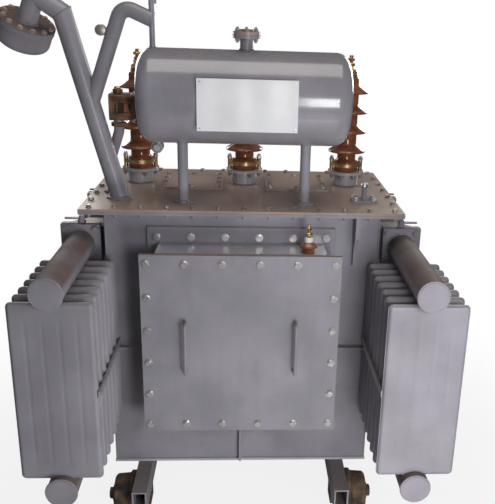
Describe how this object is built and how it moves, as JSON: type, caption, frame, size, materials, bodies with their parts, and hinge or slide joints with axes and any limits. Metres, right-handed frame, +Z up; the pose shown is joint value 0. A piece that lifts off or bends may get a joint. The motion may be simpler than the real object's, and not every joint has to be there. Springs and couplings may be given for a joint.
{
  "type": "power transformer",
  "caption": "Oil-filled power transformer on wheels, with a finned radiator at each corner, a cable box, an oil conservator and an explosion vent.",
  "frame": {"origin": "on the floor, under the middle of the tank", "axes": "+X to the right along the tank, +Y to the back, away from the cable box, +Z up"},
  "size_m": [1.7952, 1.798, 2.286],
  "materials": {
    "grey_paint": "semi-gloss enamel, dusty on top",
    "rusty_iron": "rough, rusty brown",
    "cast_relay": "brown cast surface",
    "brown_porcelain": "glossy brown glaze",
    "brass": "bright machined"
  },
  "bodies": {
    "transformer": {"base_tube_left": "grey_paint", "base_tube_right": "grey_paint", "breather_pipe": "grey_paint", "bushing_terminals": "brass", "cable_box_body": "grey_paint", "cable_box_cover": "grey_paint", "cable_box_flange": "grey_paint", "cable_box_handle_left": "grey_paint", "cable_box_handle_right": "grey_paint", "clamp_rings": "brass", "conservator_drain": "grey_paint", "conservator_end_left": "grey_paint", "conservator_end_right": "grey_paint", "conservator_posts": "grey_paint", "conservator_shell": "grey_paint", "cover": "grey_paint", "elbows_left": "grey_paint", "elbows_right": "grey_paint", "equalising_pipe": "grey_paint", "filler_cap": "grey_paint", "filler_neck": "grey_paint", "gas_relay": "cast_relay", "hv_bushing_centre": "brown_porcelain", "hv_bushing_left": "brown_porcelain", "hv_bushing_right": "brown_porcelain", "inspection_plates": "grey_paint", "lifting_lugs": "grey_paint", "neutral_bushing": "brown_porcelain", "neutral_terminal": "brass", "radiator_back_left_headers": "grey_paint", "radiator_back_left_panels": "grey_paint", "radiator_back_right_headers": "grey_paint", "radiator_back_right_panels": "grey_paint", "radiator_front_left_headers": "grey_paint", "radiator_front_left_panels": "grey_paint", "radiator_front_right_headers": "grey_paint", "radiator_front_right_panels": "grey_paint", "radiator_ties": "grey_paint", "relay_pipe": "grey_paint", "tank_floor": "grey_paint", "tank_rim": "grey_paint", "tank_wall_back": "grey_paint", "tank_wall_front": "grey_paint", "tank_wall_left": "grey_paint", "tank_wall_right": "grey_paint", "thermometer_pocket": "grey_paint", "turrets": "grey_paint", "vent_drum": "grey_paint", "vent_pipe": "grey_paint", "wheel_brackets_left": "rusty_iron", "wheel_brackets_right": "rusty_iron"},
    "wheel_front_left": {"wheel_front_left": "rusty_iron"},
    "wheel_front_right": {"wheel_front_right": "rusty_iron"},
    "wheel_back_left": {"wheel_back_left": "rusty_iron"},
    "wheel_back_right": {"wheel_back_right": "rusty_iron"},
    "valve_lever_front_left": {"valve_lever_front_left": "grey_paint"},
    "valve_lever_front_right": {"valve_lever_front_right": "grey_paint"},
    "valve_lever_back_left": {"valve_lever_back_left": "grey_paint"},
    "valve_lever_back_right": {"valve_lever_back_right": "grey_paint"}
  },
  "joints": [
    {"name": "wheel_front_left_spin", "type": "hinge", "parent": "transformer", "child": "wheel_front_left", "pos_m": [-0.515, -0.415, 0.1], "axis": [1, 0, 0], "continuous": true},
    {"name": "wheel_front_right_spin", "type": "hinge", "parent": "transformer", "child": "wheel_front_right", "pos_m": [0.515, -0.415, 0.1], "axis": [1, 0, 0], "continuous": true},
    {"name": "wheel_back_left_spin", "type": "hinge", "parent": "transformer", "child": "wheel_back_left", "pos_m": [-0.515, 0.415, 0.1], "axis": [1, 0, 0], "continuous": true},
    {"name": "wheel_back_right_spin", "type": "hinge", "parent": "transformer", "child": "wheel_back_right", "pos_m": [0.515, 0.415, 0.1], "axis": [1, 0, 0], "continuous": true},
    {"name": "valve_front_left_turn", "type": "hinge", "parent": "transformer", "child": "valve_lever_front_left", "pos_m": [-0.668, -0.264, 1.325], "axis": [0, 0, 1], "range_deg": [-90, 0]},
    {"name": "valve_front_right_turn", "type": "hinge", "parent": "transformer", "child": "valve_lever_front_right", "pos_m": [0.668, -0.264, 1.325], "axis": [0, 0, 1], "range_deg": [0, 90]},
    {"name": "valve_back_left_turn", "type": "hinge", "parent": "transformer", "child": "valve_lever_back_left", "pos_m": [-0.668, 0.264, 1.325], "axis": [0, 0, 1], "range_deg": [0, 90]},
    {"name": "valve_back_right_turn", "type": "hinge", "parent": "transformer", "child": "valve_lever_back_right", "pos_m": [0.668, 0.264, 1.325], "axis": [0, 0, 1], "range_deg": [-90, 0]}
  ]
}
